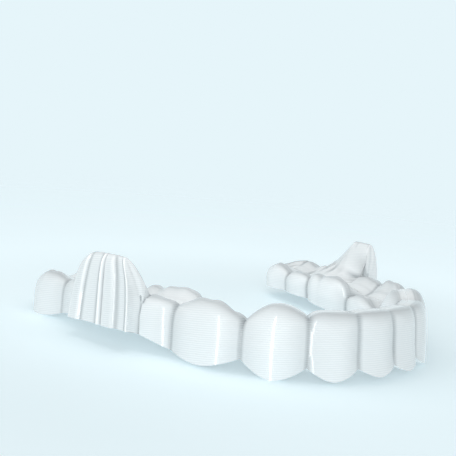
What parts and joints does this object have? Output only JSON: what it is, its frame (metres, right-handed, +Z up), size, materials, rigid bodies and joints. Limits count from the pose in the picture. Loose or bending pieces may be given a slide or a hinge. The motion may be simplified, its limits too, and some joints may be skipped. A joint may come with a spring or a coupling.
{
  "type": "clear dental aligner",
  "caption": "Clear lower dental aligner: a thin thermoformed plastic sheet over a full row of teeth, with a fluted jaw-advancement wing over each first molar.",
  "frame": {"origin": "middle of the bounding box, on the plane that the gum edge lies on", "axes": "+X to the wearer's left, -Y to the lips, +Z up from the gum edge towards the biting surface"},
  "size_m": [0.0558, 0.0502, 0.0121],
  "materials": {
    "clear_sheet": "glossy clear plastic with fine level layer lines from the printed mould"
  },
  "bodies": {
    "root": {"aligner_shell": "clear_sheet"}
  },
  "joints": []
}
